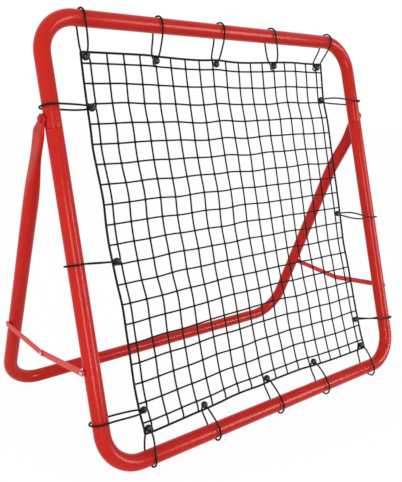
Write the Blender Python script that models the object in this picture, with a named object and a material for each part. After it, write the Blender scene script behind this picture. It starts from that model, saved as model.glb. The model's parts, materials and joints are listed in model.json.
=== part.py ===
"""Folding rebound net: a leaning square frame of steel tube that holds a mesh net on elastic ball ties,
with a U-shaped rear stand pivoted on its uprights and a two-link folding stay on each side.

Metres, +Z up. The net faces -Y, and the origin is on the floor, in the middle of the whole object.
The front frame is drawn in its own plane: x across, y to the rear, z up along the uprights, measured from
the middle of the bottom tube. The stand is drawn from its pivots: y to the rear, z up along its legs.
"""

import bmesh
import bpy
from math import atan2, cos, pi, radians, sin, sqrt
from mathutils import Matrix, Vector

GAP = 0.0003                 # clearance between pieces that touch or fit
CUT_MARGIN = 0.003           # how far a hole's cutter passes each face of the wall

# Front frame
FRAME_WIDTH = 1.000          # over the tubes
FRAME_HEIGHT = 0.990         # over the tubes, along the uprights
FRAME_TUBE = 0.036
FRAME_BEND = 0.084           # bend radius of the tube's middle line
TUBE_WALL = 0.0015
LEAN = radians(15.67)        # uprights from the vertical
UPPER_LENGTH = 0.237         # from the top tube's middle line down to the seam with the lower half
SPIGOT_LENGTH = 0.060

# Rear stand
STAND_TUBE = 0.0345
STAND_OVERHANG = 0.01675     # the legs' outer sides beyond the frame's
STAND_LEAN = radians(23.08)  # legs from the vertical
STAND_BEND = 0.090
STAND_WALL = 0.0015
PIVOT_RISE = 0.022           # above the seam, along the uprights
PIVOT_BACK = 0.003           # behind the uprights' middle line
LEG_SETBACK = 0.0115         # the legs' middle line runs this far behind the pivots
PRESSED_END = 0.006          # thickness of a leg's pressed top, round the pivot
PRESSED_BODY = 0.010         # and at the end of its taper
PRESSED_LENGTH = 0.048       # full pressing, below the pivot
PRESSING_RUN = 0.165         # from the full pressing to the round tube
PRESSED_TOP = 0.0115         # from the pivot to the leg's end
PRESSED_EYE = 0.026          # width of the leg at the pivot
PRESSED_TIP = 0.012          # width of the leg's very end
EYE_FLAT = 0.009             # from the pivot down to where the leg gets thicker
TIP_TAPER = 0.034            # from the pivot down to the leg's full width
PRESSED_SPREAD = 0.0045      # how much wider than the tube the pressing makes it there, each way
SPREAD_RUN = 0.070           # from there to the tube's own width
PRESSED_SQUARENESS = 5       # power of the pressed section's outline; 2 is round

# Pivot hardware
PIVOT_BOLT = 0.008
PIVOT_HEAD = 0.016
PIVOT_HEAD_HEIGHT = 0.0045
PIVOT_HEAD_EDGE = 0.0020     # straight edge under the dome
PIVOT_WASHER = 0.025
PIVOT_WASHER_THICKNESS = 0.0012
PIVOT_NUT = 0.013
PIVOT_NUT_LENGTH = 0.008

# Folding stays
STAY_FRONT_HEIGHT = 0.219    # front rivet, along the upright
STAY_REAR_HEIGHT = 0.224     # rear rivet, up the leg from the bottom bar
STAY_DROP = 0.0183           # middle rivet below the line between the other two
STAY_MIDDLE = 0.0025         # middle rivet behind the middle of that line
LINK_WIDTH = 0.015
LINK_THICKNESS = 0.002
FRONT_SPACER = 0.0037
REAR_SPACER = 0.0018
SPACER = 0.012
MIDDLE_OFFSET = 0.0083       # the front link's middle end from the frame's side
LINK_END = 0.012             # straight length from each rivet to the sloped stretch between
RIVET = 0.005
RIVET_HEAD = 0.0095
RIVET_HEAD_HEIGHT = 0.0030
RIVET_HEAD_EDGE = 0.0008
RIVET_BULB = 0.007
RIVET_BULB_LENGTH = 0.004
RIVET_BULB_TAPER = 0.0008    # length of the bulb's closed end

# Net, and where its edges lie in the frame
NET_SIDE_ROOM = 0.1198       # from the frame's sides to the side ropes, at the corners
NET_TOP_ROOM = 0.0696        # from the top tube's middle line to the top rope
NET_BOTTOM_ROOM = 0.0543     # from the bottom tube's middle line to the bottom rope
NET_TOP_SHIFT = -0.0147      # sideways, as the ties pull it
NET_BOTTOM_SHIFT = -0.0036
NET_TILT = 0.006             # the right corners sit higher than the left ones
NET_LEFT_BOW = -0.008        # each edge's middle from the line between its corners, inward
NET_RIGHT_BOW = 0.016
NET_TOP_BOW = 0.003
NET_BOTTOM_BOW = 0.009
NET_COLUMNS = 16             # gaps across, the outer two half as wide
NET_ROWS = 17
NET_CORD = 0.0028
NET_ROPE = 0.004
BALL = 0.016
TIE_CORD = 0.004
TIE_FLAT = 0.1               # part of the cord's diameter that the floor takes away
TIE_ENTRY = radians(35)      # each strand into the ball, from the straight pull
TIE_WRAP = radians(210)      # how far round the tube the cord lies on it
TIE_EASE = 0.8               # how long a strand keeps its end directions, as a share of its length
# each tie: the ball's share of the net's edge, and the loop's share of the tube's straight run;
# the uppermost side loops lie just above the pivots instead
TOP_TIE_SHARES = ((0.013, 0.018), (0.252, 0.266), (0.490, 0.499), (0.752, 0.722), (0.977, 1.004))
BOTTOM_TIE_SHARES = ((0.016, 0.025), (0.226, 0.249), (0.496, 0.509), (0.717, 0.727), (0.984, 0.972))
LEFT_TIE_SHARES = ((0.465, 0.450), (0.063, 0.032))
RIGHT_TIE_SHARES = ((0.470, 0.438), (0.097, 0.050))
LEFT_UPPER_TIE = (0.846, 0.026)     # share of the net's edge, and rise above the pivot
RIGHT_UPPER_TIE = (0.877, 0.039)

# Facets
TUBE_SIDES = 14
BEND_STEPS = 6
CORD_SIDES = 6
TURNED_SIDES = 12
WRAP_STEPS = 7
STRAND_STEPS = 3
PRESSING_STEPS = 6
LEG_END_STEPS = 3
TAPER_STEPS = 3
LINK_END_STEPS = 8
DOME_STEPS = 3
DOME_TURN = radians(72)      # from a dome's edge to the small flat on its top
MITRE_LIMIT = 2.0            # widest stretch of a cord's ring at a corner of its route
SMOOTH_ANGLE = radians(40)

# Places that follow from the sizes above
tube_radius = FRAME_TUBE / 2
stand_radius = STAND_TUBE / 2
cord_radius = TIE_CORD / 2
side_x = FRAME_WIDTH / 2 - tube_radius
top_z = FRAME_HEIGHT - FRAME_TUBE
seam_z = top_z - UPPER_LENGTH
pivot_z = seam_z + PIVOT_RISE
leg_outside = FRAME_WIDTH / 2 + STAND_OVERHANG
leg_x = leg_outside - stand_radius
spigot_radius = (tube_radius - TUBE_WALL) * cos(pi / TUBE_SIDES) - GAP
wrap_radius = tube_radius + GAP + cord_radius
rail_height = wrap_radius + cord_radius - TIE_FLAT * TIE_CORD
bar_height = stand_radius * cos(pi / TUBE_SIDES)
pressed_x = FRAME_WIDTH / 2 + 2 * GAP + PIVOT_WASHER_THICKNESS + PRESSED_END / 2
front_link_x = FRAME_WIDTH / 2 + 2 * GAP + FRONT_SPACER
rear_link_x = leg_outside + 2 * GAP + REAR_SPACER
middle_x = FRAME_WIDTH / 2 + MIDDLE_OFFSET
net_width = FRAME_WIDTH - 2 * NET_SIDE_ROOM
net_top = top_z - NET_TOP_ROOM
net_height = net_top - NET_BOTTOM_ROOM


def stand_length():
    """From the pivots to the middle of the bottom bar, along the legs, with the bar on the floor."""
    pivot_height = rail_height + pivot_z * cos(LEAN) - PIVOT_BACK * sin(LEAN)
    return (pivot_height + LEG_SETBACK * sin(STAND_LEAN) - bar_height) / cos(STAND_LEAN)


leg_length = stand_length()


def rail_y():
    """Where the bottom tube lies, so that the object's front and rear reach equally far from the origin."""
    pivot_y = pivot_z * sin(LEAN) + PIVOT_BACK * cos(LEAN)
    bar_y = pivot_y + leg_length * sin(STAND_LEAN) + LEG_SETBACK * cos(STAND_LEAN)
    return (wrap_radius + cord_radius - bar_y - stand_radius) / 2


FRAME_AXES = Matrix.Translation((0, rail_y(), rail_height)) @ Matrix.Rotation(-LEAN, 4, 'X')
PIVOT = FRAME_AXES @ Vector((0, PIVOT_BACK, pivot_z))
STAND_AXES = Matrix.Translation(PIVOT) @ Matrix.Rotation(STAND_LEAN, 4, 'X')


def stay_points():
    """A stay's three rivets: on the upright, on the leg, and the middle one, below the other two."""
    front = FRAME_AXES @ Vector((0, 0, STAY_FRONT_HEIGHT))
    rear = STAND_AXES @ Vector((0, LEG_SETBACK, STAY_REAR_HEIGHT - leg_length))
    back = (rear - front).normalized()
    down = Vector((0, back.z, -back.y))
    return front, rear, (front + rear) / 2 + STAY_MIDDLE * back + STAY_DROP * down


def clear_scene():
    for thing in list(bpy.data.objects):
        bpy.data.objects.remove(thing)


# ---------------------------------------------------------------- materials

def material(name, colour, roughness, metallic=0.0):
    made = bpy.data.materials.new(name)
    made.use_nodes = True
    shader = made.node_tree.nodes["Principled BSDF"]
    shader.inputs["Base Color"].default_value = (*colour, 1)
    shader.inputs["Roughness"].default_value = roughness
    shader.inputs["Metallic"].default_value = metallic
    made.diffuse_color = (*colour, 1)
    return made


def make_materials():
    return {
        "red": material("red powder coat", (0.58, 0.022, 0.016), 0.28),
        "link": material("red stay strip", (0.62, 0.045, 0.040), 0.38),
        "zinc": material("zinc plate", (0.72, 0.73, 0.75), 0.30, 1.0),
        "net": material("black net cord", (0.012, 0.012, 0.013), 0.75),
        "elastic": material("black elastic", (0.010, 0.010, 0.011), 0.60),
        "ball": material("black ball", (0.018, 0.018, 0.018), 0.42),
    }


# ---------------------------------------------------------------- modelling tools

def empty(name, matrix):
    made = bpy.data.objects.new(name, None)
    made.matrix_world = matrix
    bpy.context.scene.collection.objects.link(made)
    return made


def finish(name, bm, parent, look, smooth=True, location=(0, 0, 0)):
    """Turns a bmesh, drawn in its parent's axes, into an object of that parent."""
    bmesh.ops.recalc_face_normals(bm, faces=bm.faces)
    mesh = bpy.data.meshes.new(name)
    bm.to_mesh(mesh)
    bm.free()
    if smooth:
        mesh.shade_smooth()
        mesh.set_sharp_from_angle(angle=SMOOTH_ANGLE)
    made = bpy.data.objects.new(name, mesh)
    bpy.context.scene.collection.objects.link(made)
    made.parent = parent
    made.location = location
    if look:
        mesh.materials.append(look)
    return made


def skin(rings, capped):
    """A skin through rings of points, each ring having as many points as the next."""
    bm = bmesh.new()
    rows = [[bm.verts.new(point) for point in ring] for ring in rings]
    for low, high in zip(rows, rows[1:]):
        for k in range(len(low)):
            following = (k + 1) % len(low)
            bm.faces.new((low[k], low[following], high[following], high[k]))
    if capped:
        bm.faces.new(rows[0][::-1])
        bm.faces.new(rows[-1])
    return bm


def bent_path(corners, bend_radius):
    """Stations (point, direction) along straight runs that meet in round bends, in the XZ plane."""
    stations = [(Vector(corners[0]), (Vector(corners[1]) - Vector(corners[0])).normalized())]
    for before, corner, after in zip(corners, corners[1:], corners[2:]):
        before, corner, after = Vector(before), Vector(corner), Vector(after)
        coming = (corner - before).normalized()
        going = (after - corner).normalized()
        centre = corner + bend_radius * (going - coming)
        for k in range(BEND_STEPS + 1):
            turn = k * pi / 2 / BEND_STEPS
            point = centre + bend_radius * (coming * sin(turn) - going * cos(turn))
            stations.append((point, coming * cos(turn) + going * sin(turn)))
    last = Vector(corners[-1])
    stations.append((last, (last - Vector(corners[-2])).normalized()))
    return stations


def tube_ring(centre, direction, radius, phase):
    """A ring of a tube that runs in the XZ plane; phase turns one of its facets to the floor."""
    across = Vector((-direction.z, 0, direction.x))
    ring = []
    for k in range(TUBE_SIDES):
        angle = phase + 2 * pi * k / TUBE_SIDES
        ring.append(centre + radius * (cos(angle) * across + sin(angle) * Vector((0, 1, 0))))
    return ring


def solidify(made, wall):
    shell = made.modifiers.new("wall", 'SOLIDIFY')
    shell.thickness = wall
    shell.offset = -1
    shell.use_even_offset = True


def drill(made, name, parent, centre, radius, wall):
    """A hole along X through one wall of a piece; centre is the middle of that wall."""
    length = wall + 2 * CUT_MARGIN
    bm = bmesh.new()
    bmesh.ops.create_cone(bm, cap_ends=True, segments=TURNED_SIDES, radius1=radius, radius2=radius,
                          depth=length, matrix=Matrix.Rotation(pi / 2, 4, 'Y'))
    cutter = finish(name, bm, parent, None, location=centre)
    cutter.hide_render = True
    cutter.display_type = 'WIRE'
    cut = made.modifiers.new(name, 'BOOLEAN')
    cut.operation = 'DIFFERENCE'
    cut.object = cutter


def turned(name, profile, side, parent, look, centre):
    """A piece turned about the X axis; profile is (distance from the middle plane, radius)."""
    rings = []
    for x, radius in profile:
        ring = []
        for k in range(TURNED_SIDES):
            angle = 2 * pi * (k + 0.5) / TURNED_SIDES
            ring.append(Vector((side * x, radius * cos(angle), radius * sin(angle))))
        rings.append(ring)
    return finish(name, skin(rings, True), parent, look, location=centre)


def washer(name, near_x, thickness, outer, hole, side, parent, look, centre):
    """A flat ring about the X axis, near_x from the middle plane."""
    rings = []
    for x, radius in ((near_x, hole / 2), (near_x, outer / 2), (near_x + thickness, outer / 2),
                      (near_x + thickness, hole / 2), (near_x, hole / 2)):
        ring = []
        for k in range(TURNED_SIDES):
            angle = 2 * pi * (k + 0.5) / TURNED_SIDES
            ring.append(Vector((side * x, radius * cos(angle), radius * sin(angle))))
        rings.append(ring)
    bm = skin(rings, False)
    bmesh.ops.remove_doubles(bm, verts=bm.verts, dist=1e-6)
    return finish(name, bm, parent, look, location=centre)


def domed_head(start_x, diameter, height, edge):
    """The profile of a head with a short straight edge and an elliptic dome, from the inside out."""
    profile = [(start_x, diameter / 2)]
    for k in range(DOME_STEPS):
        angle = DOME_TURN * k / (DOME_STEPS - 1)
        rise = sin(angle) / sin(DOME_TURN)
        profile.append((start_x + edge + (height - edge) * rise, diameter / 2 * cos(angle)))
    return profile


def inner_face(outer_radius, wall, reach):
    """How far from a tube's middle line its wall's inside lies, for a flat disc of the given radius."""
    inside = (outer_radius - wall) * cos(pi / TUBE_SIDES)
    return sqrt(inside ** 2 - reach ** 2) - GAP


# ---------------------------------------------------------------- front frame

def floor_phase(tilt):
    """Turns a tube's rings so that one facet lies square to a line tilted this much from the tube's plane."""
    return tilt - pi / TUBE_SIDES


def build_upper_frame(axes, looks):
    end = seam_z + GAP
    corners = ((-side_x, 0, end), (-side_x, 0, top_z), (side_x, 0, top_z), (side_x, 0, end))
    stations = bent_path(corners, FRAME_BEND)
    rings = [tube_ring(point, way, tube_radius, floor_phase(0)) for point, way in stations]
    made = finish("upper_frame", skin(rings, False), axes, looks["red"])
    solidify(made, TUBE_WALL)
    for side, word in ((-1, "left"), (1, "right")):
        centre = (side * (side_x + tube_radius - TUBE_WALL / 2), PIVOT_BACK, pivot_z)
        drill(made, "upper_pivot_hole_" + word, axes, centre, PIVOT_BOLT / 2 + GAP, TUBE_WALL)


def build_lower_frame(axes, looks):
    """The lower half, whose ends are reduced to spigots that plug into the upper half."""
    end = seam_z + SPIGOT_LENGTH
    corners = ((-side_x, 0, seam_z), (-side_x, 0, 0), (side_x, 0, 0), (side_x, 0, seam_z))
    stations = bent_path(corners, FRAME_BEND)
    phase = floor_phase(-LEAN)
    body = [tube_ring(point, way, tube_radius, phase) for point, way in stations]
    spigots = []
    for x, way in ((-side_x, Vector((0, 0, -1))), (side_x, Vector((0, 0, 1)))):
        spigots.append([tube_ring(Vector((x, 0, z)), way, spigot_radius, phase) for z in (seam_z, end)])
    rings = spigots[0][::-1] + body + spigots[1]
    made = finish("lower_frame", skin(rings, False), axes, looks["red"])
    solidify(made, TUBE_WALL)
    for side, word in ((-1, "left"), (1, "right")):
        wall_x = side_x + spigot_radius - TUBE_WALL / 2
        drill(made, "spigot_hole_" + word, axes, (side * wall_x, PIVOT_BACK, pivot_z),
              PIVOT_BOLT / 2 + GAP, TUBE_WALL)
        wall_x = side_x + tube_radius - TUBE_WALL / 2
        drill(made, "stay_hole_" + word, axes, (side * wall_x, 0, STAY_FRONT_HEIGHT),
              RIVET / 2 + GAP, TUBE_WALL)


# ---------------------------------------------------------------- net

def net_point(across, up):
    """A point of the net from its fractions across and up, in the frame's plane, with its edges bowed."""
    shift = NET_BOTTOM_SHIFT + (NET_TOP_SHIFT - NET_BOTTOM_SHIFT) * up
    side_bow = 1 - (2 * up - 1) ** 4
    end_bow = sin(pi * across) ** 2
    x = (across - 0.5) * net_width + shift
    x += side_bow * (NET_LEFT_BOW * (1 - across) - NET_RIGHT_BOW * across)
    z = NET_BOTTOM_ROOM + net_height * up + (across - 0.5) * NET_TILT
    z += end_bow * (NET_BOTTOM_BOW * (1 - up) - NET_TOP_BOW * up)
    return Vector((x, 0, z))


def strand_places(gaps, length):
    """Fractions along an edge where the crossing strands lie; the first and the last gap are half as wide."""
    pitch = length / (gaps - 1)
    return [(k + 0.5) * pitch / length for k in range(gaps - 1)]


def band_edges(gaps, length):
    """Fractions of both edges of every strand, the ropes at the borders included."""
    rope = NET_ROPE / 2 / length
    cord = NET_CORD / 2 / length
    edges = [-rope, rope]
    for place in strand_places(gaps, length):
        edges += [place - cord, place + cord]
    return edges + [1 - rope, 1 + rope]


def build_net(axes, looks):
    """One lattice of flat strands: the cells between the bands' edges are filled, except the gaps."""
    columns = band_edges(NET_COLUMNS, net_width)
    rows = band_edges(NET_ROWS, net_height)
    bm = bmesh.new()
    layers = []
    for depth in (-NET_CORD / 2, NET_CORD / 2):
        step = Vector((0, depth, 0))
        layers.append([[bm.verts.new(net_point(a, b) + step) for b in rows] for a in columns])
    cells = [(i, j) for i in range(len(columns) - 1) for j in range(len(rows) - 1)]
    filled = {(i, j) for i, j in cells if i % 2 == 0 or j % 2 == 0}
    front, back = layers
    for i, j in filled:
        corners = ((i, j), (i + 1, j), (i + 1, j + 1), (i, j + 1))
        bm.faces.new([front[a][b] for a, b in corners])
        bm.faces.new([back[a][b] for a, b in reversed(corners)])
        neighbours = ((i, j - 1), (i + 1, j), (i, j + 1), (i - 1, j))
        for k, neighbour in enumerate(neighbours):
            if neighbour not in filled:
                (a, b), (c, d) = corners[k], corners[(k + 1) % 4]
                bm.faces.new((front[a][b], back[a][b], back[c][d], front[c][d]))
    finish("net", bm, axes, looks["net"], smooth=False)


# ---------------------------------------------------------------- ties

def clear_of_strands(place, strands):
    """The nearest place where a ball fits between two of these strands; the outer two are the ropes."""
    rope_keep = BALL / 2 + NET_ROPE / 2 + GAP
    cord_keep = BALL / 2 + NET_CORD / 2 + GAP
    low = max(k for k in range(len(strands) - 1) if k == 0 or strands[k] <= place)
    low_keep = rope_keep if low == 0 else cord_keep
    high_keep = rope_keep if low + 2 == len(strands) else cord_keep
    return min(max(place, strands[low] + low_keep), strands[low + 1] - high_keep)


def ball_by_end(share, end):
    """The place of a ball inside the net's bottom (end 0) or top (end 1) rope."""
    inset = NET_ROPE / 2 + GAP + BALL / 2
    inward = 1 - 2 * end
    up = end + inward * inset / net_height
    columns = [0.0] + strand_places(NET_COLUMNS, net_width) + [1.0]
    x = clear_of_strands(net_point(share, up).x, [net_point(across, up).x for across in columns])
    across = (x - net_point(0, end).x) / net_width
    return Vector((x, 0, net_point(across, end).z + inward * inset))


def ball_by_side(share, side):
    """The place of a ball inside the net's left (side -1) or right (side 1) rope."""
    inset = NET_ROPE / 2 + GAP + BALL / 2
    edge = (1 + side) / 2
    across = edge - side * inset / net_width
    rows = [0.0] + strand_places(NET_ROWS, net_height) + [1.0]
    z = clear_of_strands(net_point(across, share).z, [net_point(across, up).z for up in rows])
    up = (z - net_point(across, 0).z) / net_height
    return Vector((net_point(edge, up).x - side * inset, 0, z))


def tie_route(reach):
    """The cord's route seen along the tube, as (pull, out) from the ball: over the tube and back to the ball.

    pull points from the ball to the tube, which is reach away, and out points to the object's front."""
    leave = Vector((cos(TIE_ENTRY), sin(TIE_ENTRY)))
    back_leave = Vector((leave.x, -leave.y))
    end = BALL / 2 + GAP
    step = TIE_WRAP / WRAP_STEPS
    vertex_radius = wrap_radius / cos(step / 2)
    first = LEAN - TIE_WRAP / 2
    last = LEAN + TIE_WRAP / 2
    wrap = []
    for k in range(WRAP_STEPS + 1):
        angle = first + k * step
        wrap.append(Vector((reach + vertex_radius * cos(angle), -vertex_radius * sin(angle))))
    arrive = Vector((sin(-first), -cos(first))).normalized()
    back_arrive = Vector((sin(last), cos(last))).normalized()
    front = [end * leave] + eased((end + TIE_CORD) * leave, leave, wrap[0], arrive)
    back = [end * back_leave] + eased((end + TIE_CORD) * back_leave, back_leave, wrap[-1], back_arrive)
    return front + wrap[1:-1] + back[::-1]


def eased(start, leave, end, arrive):
    """Points of a smooth curve that leaves one way and arrives another."""
    stretch = TIE_EASE * (end - start).length
    points = []
    for k in range(STRAND_STEPS + 1):
        t = k / STRAND_STEPS
        points.append((2 * t ** 3 - 3 * t ** 2 + 1) * start + (t ** 3 - 2 * t ** 2 + t) * stretch * leave
                      + (3 * t ** 2 - 2 * t ** 3) * end + (t ** 3 - t ** 2) * stretch * arrive)
    return points


def cord_rings(points, lateral):
    """Rings of a cord through points; lateral is the way that the cord's plane faces."""
    rings = []
    for k, point in enumerate(points):
        before = points[max(k - 1, 0)]
        after = points[min(k + 1, len(points) - 1)]
        way = (after - before).normalized()
        inward = way.cross(lateral).normalized()
        along = inward.cross(way)
        turn = 1.0
        if 0 < k < len(points) - 1:
            bend = (point - before).angle(after - point)
            turn = min(MITRE_LIMIT, 1 / cos(bend / 2))
        ring = []
        for s in range(CORD_SIDES):
            angle = 2 * pi * s / CORD_SIDES
            ring.append(point + cord_radius * (turn * cos(angle) * inward + sin(angle) * along))
        rings.append(ring)
    return rings


def build_tie(name, ball, tube, pull, axes, looks):
    """A ball and its loop; ball and tube are points in the frame's plane, pull points square to the tube."""
    bm = bmesh.new()
    bmesh.ops.create_icosphere(bm, subdivisions=2, radius=BALL / 2)
    finish(name + "_ball", bm, axes, looks["ball"], location=ball)
    lateral = Vector((0, 1, 0)).cross(pull)
    reach = (tube - ball).dot(pull)
    shift = (tube - ball).dot(lateral)
    points = []
    for way, out in tie_route(reach):
        slide = min(max(way / reach, 0.0), 1.0)
        slide = slide * slide * (3 - 2 * slide)
        points.append(way * pull - out * Vector((0, 1, 0)) + slide * shift * lateral)
    bm = skin(cord_rings(points, lateral), True)
    return finish(name + "_loop", bm, axes, looks["elastic"], location=ball)


def straight_place(share, length):
    """A place along a tube of this length between its corners, as a share of its run between the bends."""
    return FRAME_BEND + share * (length - 2 * FRAME_BEND)


def build_ties(axes, looks):
    floor_block = build_floor_block()
    ends = (("top", TOP_TIE_SHARES, 1, top_z), ("bottom", BOTTOM_TIE_SHARES, 0, 0))
    for word, shares, end, tube_z in ends:
        for k, (net_share, tube_share) in enumerate(shares):
            tube = Vector((straight_place(tube_share, 2 * side_x) - side_x, 0, tube_z))
            loop = build_tie("tie_%s_%d" % (word, k + 1), ball_by_end(net_share, end), tube,
                             Vector((0, 0, 2 * end - 1)), axes, looks)
            if end == 0:
                cut = loop.modifiers.new("floor", 'BOOLEAN')
                cut.operation = 'DIFFERENCE'
                cut.object = floor_block
    sides = (("left", -1, LEFT_UPPER_TIE, LEFT_TIE_SHARES), ("right", 1, RIGHT_UPPER_TIE, RIGHT_TIE_SHARES))
    for word, side, (upper_share, rise), lower_shares in sides:
        ties = [(upper_share, pivot_z + rise)]
        ties += [(net_share, straight_place(tube_share, top_z)) for net_share, tube_share in lower_shares]
        for k, (net_share, loop_z) in enumerate(ties):
            tube = Vector((side * side_x, 0, loop_z))
            build_tie("tie_%s_%d" % (word, k + 1), ball_by_side(net_share, side), tube,
                      Vector((side, 0, 0)), axes, looks)


def build_floor_block():
    """The floor under the bottom loops, which presses their undersides flat."""
    depth = wrap_radius
    bm = bmesh.new()
    bmesh.ops.create_cube(bm, size=1)
    bmesh.ops.scale(bm, vec=(FRAME_WIDTH, 4 * wrap_radius, depth), verts=bm.verts)
    block = finish("floor_block", bm, None, None, smooth=False, location=(0, rail_y(), -depth / 2))
    block.hide_render = True
    block.display_type = 'WIRE'
    return block


# ---------------------------------------------------------------- rear stand

def smooth_step(value):
    value = min(max(value, 0.0), 1.0)
    return value * value * (3 - 2 * value)


def leg_ring(below, side, upward):
    """A ring of a leg's pressed stretch, this far below the pivot; above the run its inner face is flat."""
    amount = smooth_step((below - PRESSED_LENGTH) / PRESSING_RUN)
    rise = smooth_step((below - EYE_FLAT) / (TIP_TAPER - EYE_FLAT))
    pressed_half = (PRESSED_END + (PRESSED_BODY - PRESSED_END) * rise) / 2
    half_x = pressed_half + (stand_radius - pressed_half) * amount
    widest = stand_radius + PRESSED_SPREAD * (1 - smooth_step((below - TIP_TAPER) / SPREAD_RUN))
    half_y = PRESSED_EYE / 2 + (widest - PRESSED_EYE / 2) * smooth_step(below / TIP_TAPER)
    if below < 0:
        half_y = max(PRESSED_TIP, sqrt(max(0.0, 1 - (below / PRESSED_TOP) ** 2)) * PRESSED_EYE) / 2
    squareness = 2 + (PRESSED_SQUARENESS - 2) * (1 - amount)
    pressed_middle = pressed_x - PRESSED_END / 2 + pressed_half
    centre = Vector((side * (pressed_middle + (leg_x - pressed_middle) * amount), LEG_SETBACK * amount, -below))
    across = Vector((-upward, 0, 0))
    ring = []
    for k in range(TUBE_SIDES):
        angle = floor_phase(STAND_LEAN) + 2 * pi * k / TUBE_SIDES
        c, s = cos(angle), sin(angle)
        x = half_x * (1 if c >= 0 else -1) * abs(c) ** (2 / squareness)
        y = half_y * (1 if s >= 0 else -1) * abs(s) ** (2 / squareness)
        ring.append(centre + x * across + Vector((0, y, 0)))
    return ring


def build_rear_stand(axes, looks):
    """One tube: down the left leg, along the bottom bar and up the right leg, its ends pressed thin."""
    pressing_end = PRESSED_LENGTH + PRESSING_RUN
    belows = [-PRESSED_TOP * cos(k * pi / 2 / LEG_END_STEPS) for k in range(LEG_END_STEPS)] + [0.0]
    belows += [EYE_FLAT + (TIP_TAPER - EYE_FLAT) * k / TAPER_STEPS for k in range(TAPER_STEPS)]
    belows += [PRESSED_LENGTH + PRESSING_RUN * k / PRESSING_STEPS for k in range(PRESSING_STEPS + 1)]
    corners = ((-leg_x, LEG_SETBACK, -pressing_end), (-leg_x, LEG_SETBACK, -leg_length),
               (leg_x, LEG_SETBACK, -leg_length), (leg_x, LEG_SETBACK, -pressing_end))
    stations = bent_path(corners, STAND_BEND)
    phase = floor_phase(STAND_LEAN)
    middle = [tube_ring(point, way, stand_radius, phase) for point, way in stations[1:-1]]
    rings = [leg_ring(below, -1, -1) for below in belows] + middle
    rings += [leg_ring(below, 1, 1) for below in reversed(belows)]
    made = finish("rear_stand", skin(rings, False), axes, looks["red"])
    solidify(made, STAND_WALL)
    for side, word in ((-1, "left"), (1, "right")):
        drill(made, "stand_pivot_hole_" + word, axes, (side * pressed_x, 0, 0),
              PIVOT_BOLT / 2 + GAP, PRESSED_END)
        wall_x = leg_x + stand_radius - STAND_WALL / 2
        centre = (side * wall_x, LEG_SETBACK, STAY_REAR_HEIGHT - leg_length)
        drill(made, "stand_stay_hole_" + word, axes, centre, RIVET / 2 + GAP, STAND_WALL)


def build_pivots(axes, looks):
    """Bolt, washer and nut of each pivot; the bolt goes through the leg, the upright and the spigot."""
    hole = PIVOT_BOLT + 2 * GAP
    nut_x = side_x + inner_face(spigot_radius, TUBE_WALL, PIVOT_NUT / 2 + PIVOT_BACK)
    head_x = pressed_x + PRESSED_END / 2 + GAP
    for side, word in ((-1, "left"), (1, "right")):
        centre = (0, PIVOT_BACK, pivot_z)
        washer("pivot_washer_" + word, FRAME_WIDTH / 2 + GAP, PIVOT_WASHER_THICKNESS, PIVOT_WASHER, hole,
               side, axes, looks["red"], centre)
        head = domed_head(head_x, PIVOT_HEAD, PIVOT_HEAD_HEIGHT, PIVOT_HEAD_EDGE)
        turned("pivot_bolt_" + word,
               [(nut_x - PIVOT_NUT_LENGTH, PIVOT_BOLT / 2), (head_x, PIVOT_BOLT / 2)] + head,
               side, axes, looks["red"], centre)
        washer("pivot_nut_" + word, nut_x - PIVOT_NUT_LENGTH, PIVOT_NUT_LENGTH, PIVOT_NUT, hole,
               side, axes, looks["zinc"], centre)


# ---------------------------------------------------------------- folding stays

def build_link(name, length, start_x, end_x, side, toward, parent, look):
    """A flat strip about its rivet, running toward +Y or -Y; it slopes sideways past its straight end."""
    half = LINK_WIDTH / 2
    outline = []
    for centre_y, sign in ((0.0, -1), (length, 1)):
        for k in range(LINK_END_STEPS + 1):
            angle = pi / 2 - pi * k / LINK_END_STEPS
            outline.append((centre_y + sign * half * cos(angle), -sign * half * sin(angle)))
    bm = bmesh.new()
    face = bm.faces.new([bm.verts.new((0, y, z)) for y, z in outline])
    grown = bmesh.ops.extrude_face_region(bm, geom=[face])
    moved = [part for part in grown["geom"] if isinstance(part, bmesh.types.BMVert)]
    bmesh.ops.translate(bm, vec=(LINK_THICKNESS, 0, 0), verts=moved)
    for cut_y in (LINK_END, length - LINK_END):
        bmesh.ops.bisect_plane(bm, geom=bm.verts[:] + bm.edges[:] + bm.faces[:], plane_co=(0, cut_y, 0),
                               plane_no=(0, 1, 0))
    for vertex in bm.verts:
        share = min(max((vertex.co.y - LINK_END) / (length - 2 * LINK_END), 0.0), 1.0)
        x = start_x + (end_x - start_x) * share + vertex.co.x
        vertex.co = Vector((side * x, toward * vertex.co.y, vertex.co.z))
    made = finish(name, bm, parent, look, smooth=False)
    for word, y, x in (("near", 0.0, start_x), ("far", length, end_x)):
        drill(made, "%s_%s_hole" % (name, word), parent, (side * (x + LINK_THICKNESS / 2), toward * y, 0),
              RIVET / 2 + GAP, LINK_THICKNESS)
    return made


def rivet_profile(inside_x, head_x):
    """A blind rivet from the closed-up end inside the tube to the domed head outside."""
    end_x = inside_x - RIVET_BULB_LENGTH
    return [(end_x, RIVET / 2), (end_x + RIVET_BULB_TAPER, RIVET_BULB / 2), (inside_x, RIVET_BULB / 2),
            (inside_x, RIVET / 2), (head_x, RIVET / 2)] + rivet_head(head_x)


def rivet_head(head_x):
    return domed_head(head_x, RIVET_HEAD, RIVET_HEAD_HEIGHT, RIVET_HEAD_EDGE)


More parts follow.
